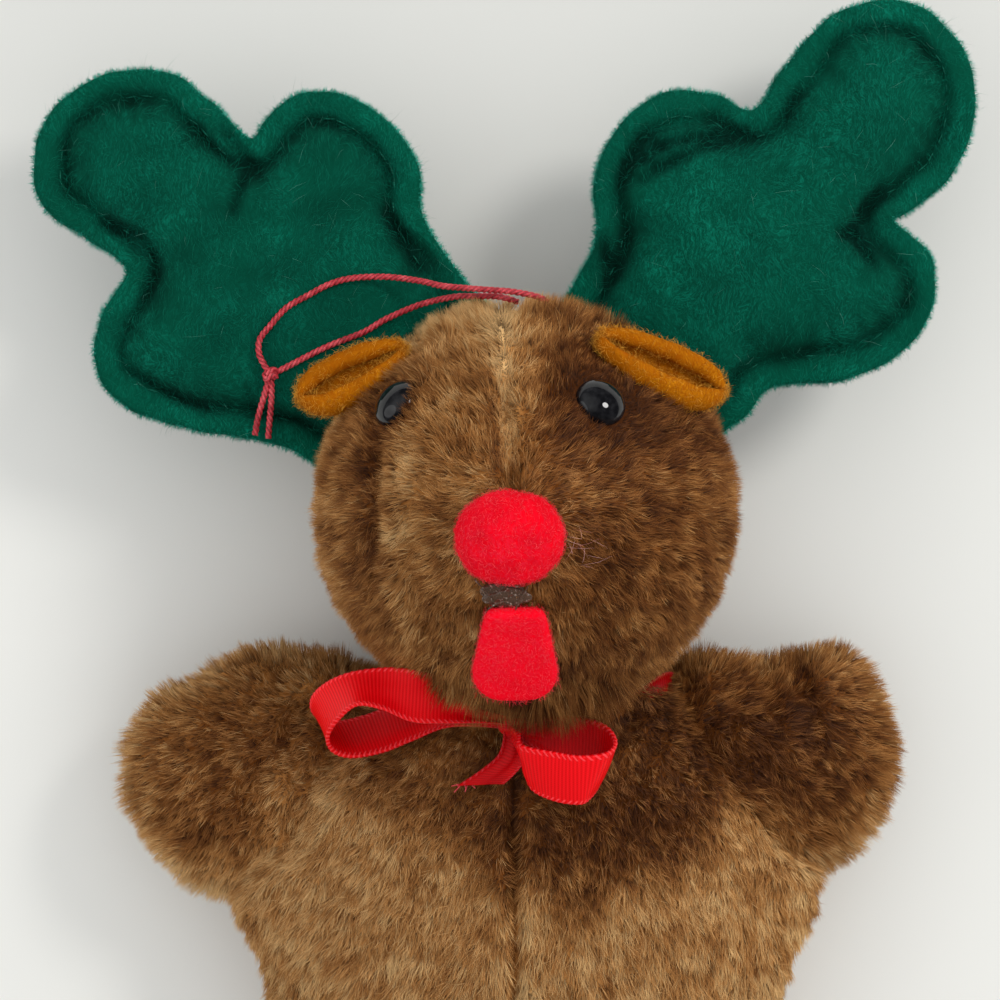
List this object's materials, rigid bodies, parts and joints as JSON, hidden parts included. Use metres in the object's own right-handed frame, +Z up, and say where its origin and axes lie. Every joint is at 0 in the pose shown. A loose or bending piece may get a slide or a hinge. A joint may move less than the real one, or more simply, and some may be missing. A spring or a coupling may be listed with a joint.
{
  "type": "plush ornament",
  "caption": "Plush moose ornament lying on its back, with stuffed felt antlers, folded felt ears, a round felt nose, a ribbon round its neck and a thread hanging loop.",
  "frame": {"origin": "middle of the flat patch on the torso's back, on which the ornament lies", "axes": "+X to the viewer's right, +Y from the legs past the top of the head, +Z up out of the face"},
  "size_m": [0.1141, 0.16, 0.0582],
  "materials": {
    "pile_fabric": "matte",
    "stuffing": "matte",
    "green_felt": "matte",
    "amber_felt": "matte",
    "red_felt": "matte",
    "eye_plastic": "gloss",
    "washer_plastic": "satin",
    "glue": "gloss",
    "ribbon": "satin",
    "thread": "satin"
  },
  "bodies": {
    "torso": {"torso_front_left": "pile_fabric", "torso_front_right": "pile_fabric", "torso_back": "pile_fabric", "torso_stuffing": "stuffing", "arm_left_cover": "pile_fabric", "arm_left_stuffing": "stuffing", "arm_right_cover": "pile_fabric", "arm_right_stuffing": "stuffing", "leg_left_cover": "pile_fabric", "leg_left_stuffing": "stuffing", "leg_right_cover": "pile_fabric", "leg_right_stuffing": "stuffing", "ribbon_neck_band": "ribbon", "ribbon_knot": "ribbon", "ribbon_loop_left": "ribbon", "ribbon_loop_right": "ribbon", "ribbon_tail": "ribbon"},
    "head": {"head_cover_left": "pile_fabric", "head_cover_right": "pile_fabric", "head_stuffing": "stuffing", "eye_left": "eye_plastic", "eye_right": "eye_plastic", "eye_washer_left": "washer_plastic", "eye_washer_right": "washer_plastic", "nose": "red_felt", "tongue": "red_felt", "glue_blob": "glue", "ear_left": "amber_felt", "ear_right": "amber_felt"},
    "antler_left": {"antler_left_front": "green_felt", "antler_left_back": "green_felt", "antler_left_stuffing": "stuffing"},
    "antler_right": {"antler_right_front": "green_felt", "antler_right_back": "green_felt", "antler_right_stuffing": "stuffing"},
    "hanging_loop": {"thread_strand_front": "thread", "thread_strand_back": "thread", "thread_knot": "thread"}
  },
  "joints": [
    {"name": "head_turn", "type": "hinge", "parent": "torso", "child": "head", "pos_m": [-0.0001, 0.0518, 0.0247], "axis": [0, 1, 0], "range_deg": [-15, 15], "stiffness_Nm_per_rad": 0.05},
    {"name": "antler_left_flop", "type": "hinge", "parent": "head", "child": "antler_left", "pos_m": [-0.01446, 0.06409, 0.018], "axis": [0.6504, 0.7596, 0], "range_deg": [-18, 0], "stiffness_Nm_per_rad": 0.02, "springref_deg": 2.01},
    {"name": "antler_right_flop", "type": "hinge", "parent": "head", "child": "antler_right", "pos_m": [0.01173, 0.06654, 0.018], "axis": [0.7799, -0.6259, 0], "range_deg": [-18, 0], "stiffness_Nm_per_rad": 0.02, "springref_deg": 2.01},
    {"name": "loop_swing", "type": "hinge", "parent": "head", "child": "hanging_loop", "pos_m": [0.0024, 0.0764, 0.03], "axis": [0, 0, 1], "range_deg": [-100, 0]}
  ]
}
